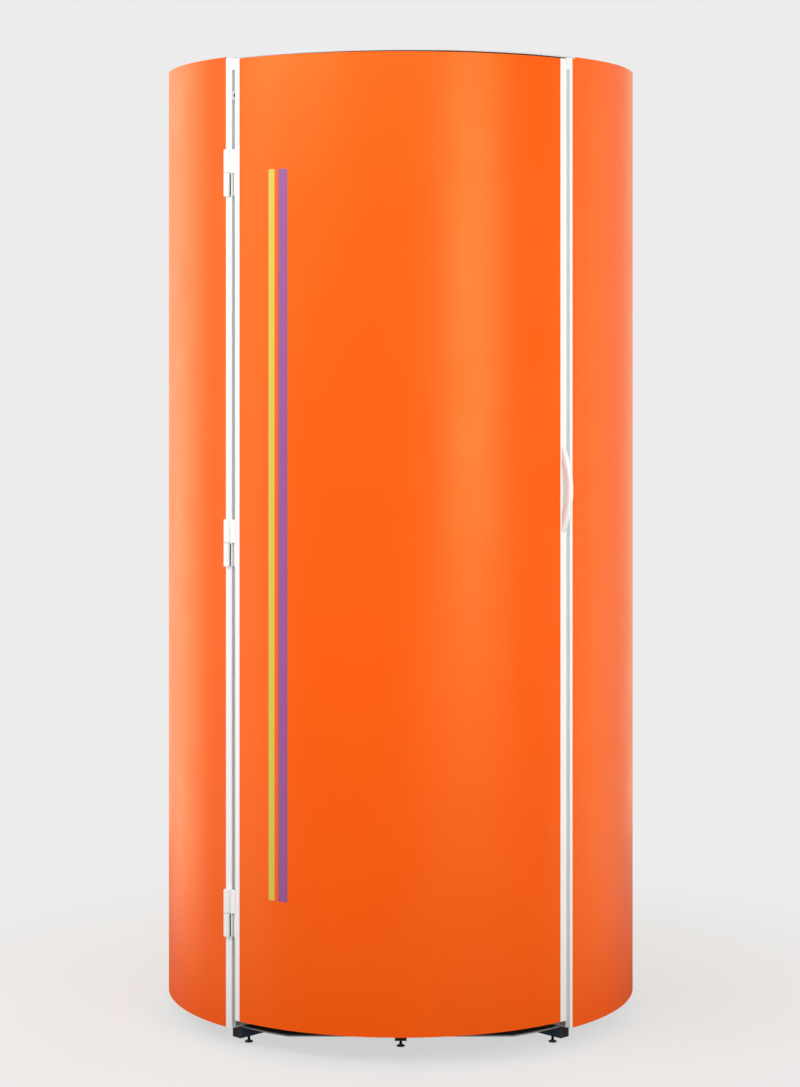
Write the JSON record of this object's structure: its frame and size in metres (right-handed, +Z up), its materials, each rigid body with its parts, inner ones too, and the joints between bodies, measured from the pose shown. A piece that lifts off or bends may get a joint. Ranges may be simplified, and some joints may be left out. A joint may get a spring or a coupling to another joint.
{
  "type": "vertical tanning booth",
  "caption": "Upright round tanning cabin with upright lamps behind clear shields, a curved front door on lift-off hinges, a roof fan, push buttons and levelling feet.",
  "frame": {"origin": "on the floor at the cabin's vertical axis", "axes": "+Z up, the door faces -Y, +X to the right as seen from the front; the door's hinges are at -X"},
  "size_m": [1.05, 1.0496, 2.106],
  "materials": {
    "frame_steel": "semi-matt slate powder coat",
    "black_plastic": "fine-grained black",
    "grey_sheet": "grey powder coat",
    "floor_plastic": "dark grey moulding",
    "mat_rubber": "matt",
    "white_edge": "white powder coat",
    "orange_sheet": "glossy orange lacquer",
    "zinc_sheet": "galvanised",
    "motor_case": "black enamel",
    "white_sheet": "white powder coat",
    "reflector_sheet": "bright rolled",
    "lamp_glass": "phosphor coated tube",
    "white_plastic": "glossy white",
    "clear_acrylic": "clear extruded sheet",
    "ballast_case": "grey enamel",
    "grey_plastic": "light grey",
    "green_plastic": "glossy green",
    "red_plastic": "glossy red",
    "hinge_coat": "white powder coat"
  },
  "bodies": {
    "cabin": {"chassis_frame": "frame_steel", "frame_end_plugs": "black_plastic", "base_plate": "grey_sheet", "floor_platform": "floor_plastic", "floor_mat": "mat_rubber", "left_post": "white_edge", "right_post": "white_edge", "left_panel": "orange_sheet", "right_panel": "orange_sheet", "rear_panel": "orange_sheet", "panel_joint_strips": "zinc_sheet", "roof_panel": "grey_sheet", "roof_grille": "grey_sheet", "fan_duct": "zinc_sheet", "fan_motor": "motor_case", "fan_bracket": "zinc_sheet", "cabin_ceiling": "white_sheet", "lamp_channels": "white_sheet", "body_reflector": "reflector_sheet", "body_lamps": "lamp_glass", "body_lampholders": "white_plastic", "left_shield": "clear_acrylic", "right_shield": "clear_acrylic", "shield_joiner": "reflector_sheet", "ballasts": "ballast_case", "ballast_tray": "zinc_sheet", "switchgear_box": "grey_plastic", "control_box": "white_plastic", "grab_handles": "white_plastic", "cable_gland": "black_plastic", "hinge_post_halves": "hinge_coat", "catch_magnets": "zinc_sheet", "door_seals": "mat_rubber", "door_switch": "black_plastic"},
    "door": {"door_skin": "orange_sheet", "door_left_edge": "white_edge", "door_right_edge": "white_edge", "door_channels": "white_sheet", "door_reflector": "reflector_sheet", "door_lamps": "lamp_glass", "door_lampholders": "white_plastic", "door_shield": "clear_acrylic", "door_handle": "white_plastic", "hinge_door_halves": "hinge_coat", "catch_plates": "zinc_sheet"},
    "fan_rotor": {"fan_rotor": "black_plastic"},
    "start_button": {"start_button": "green_plastic"},
    "stop_button": {"stop_button": "red_plastic"},
    "foot_front": {"foot_front": "black_plastic"},
    "foot_right_front": {"foot_right_front": "black_plastic"},
    "foot_right_rear": {"foot_right_rear": "black_plastic"},
    "foot_rear": {"foot_rear": "black_plastic"},
    "foot_left_rear": {"foot_left_rear": "black_plastic"},
    "foot_left_front": {"foot_left_front": "black_plastic"}
  },
  "joints": [
    {"name": "door_hinge", "type": "hinge", "parent": "cabin", "child": "door", "pos_m": [-0.36899, -0.38304, 1.073], "axis": [0, 0, -1], "range_deg": [0, 110]},
    {"name": "fan_spin", "type": "hinge", "parent": "cabin", "child": "fan_rotor", "pos_m": [0, 0, 2.07], "axis": [0, 0, 1], "continuous": true},
    {"name": "start_press", "type": "slide", "parent": "cabin", "child": "start_button", "axis": [0, 1, 0], "range_m": [0, 0.003], "stiffness_N_per_m": 800, "springref_m": -0.0015},
    {"name": "stop_press", "type": "slide", "parent": "cabin", "child": "stop_button", "axis": [0, 1, 0], "range_m": [0, 0.003], "stiffness_N_per_m": 800, "springref_m": -0.0015},
    {"name": "foot_front_turn", "type": "hinge", "parent": "cabin", "child": "foot_front", "pos_m": [0, -0.359, 0.012], "axis": [0, 0, 1], "continuous": true},
    {"name": "foot_right_front_turn", "type": "hinge", "parent": "cabin", "child": "foot_right_front", "pos_m": [0.32527, -0.32527, 0.012], "axis": [0, 0, 1], "continuous": true},
    {"name": "foot_right_rear_turn", "type": "hinge", "parent": "cabin", "child": "foot_right_rear", "pos_m": [0.32527, 0.32527, 0.012], "axis": [0, 0, 1], "continuous": true},
    {"name": "foot_rear_turn", "type": "hinge", "parent": "cabin", "child": "foot_rear", "pos_m": [0, 0.359, 0.012], "axis": [0, 0, 1], "continuous": true},
    {"name": "foot_left_rear_turn", "type": "hinge", "parent": "cabin", "child": "foot_left_rear", "pos_m": [-0.32527, 0.32527, 0.012], "axis": [0, 0, 1], "continuous": true},
    {"name": "foot_left_front_turn", "type": "hinge", "parent": "cabin", "child": "foot_left_front", "pos_m": [-0.32527, -0.32527, 0.012], "axis": [0, 0, 1], "continuous": true}
  ]
}
